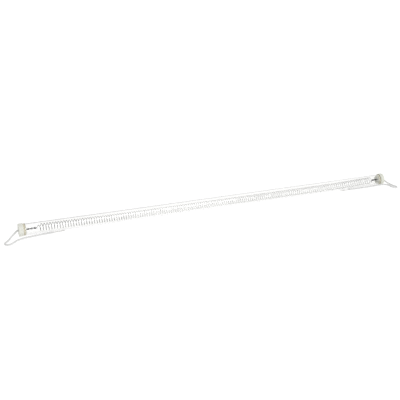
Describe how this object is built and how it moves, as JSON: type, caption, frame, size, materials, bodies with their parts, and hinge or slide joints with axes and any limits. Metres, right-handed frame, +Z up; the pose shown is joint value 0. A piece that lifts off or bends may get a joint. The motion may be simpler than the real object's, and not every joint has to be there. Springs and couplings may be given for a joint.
{
  "type": "quartz heating element",
  "caption": "Clear quartz tube with a resistance coil inside, ceramic end caps cemented into both ends and a folded lead wire out of each cap.",
  "frame": {"origin": "under the middle of the tube, on the surface that the two cap flanges rest on", "axes": "+X along the tube, -Y towards the side that the leads lie on, +Z up"},
  "size_m": [0.446, 0.0274, 0.013],
  "materials": {
    "quartz": "clear drawn quartz glass, fire-polished rims",
    "resistance_wire": "oxidised resistance wire, dull grey",
    "ceramic": "unglazed cream ceramic, matt",
    "cement": "dried beige ceramic cement, matt",
    "crimp_metal": "plated steel barrel",
    "lead_sleeve": "white woven glass-fibre sleeve",
    "bare_strands": "tinned conductor strands"
  },
  "bodies": {
    "root": {"quartz_tube": "quartz", "heating_coil": "resistance_wire", "end_cap_left": "ceramic", "end_cap_right": "ceramic", "cement_ring_left": "cement", "cement_ring_right": "cement", "crimp_left": "crimp_metal", "crimp_right": "crimp_metal", "lead_wire_left": "lead_sleeve", "lead_wire_right": "lead_sleeve", "stripped_end_left": "bare_strands", "stripped_end_right": "bare_strands"}
  },
  "joints": []
}
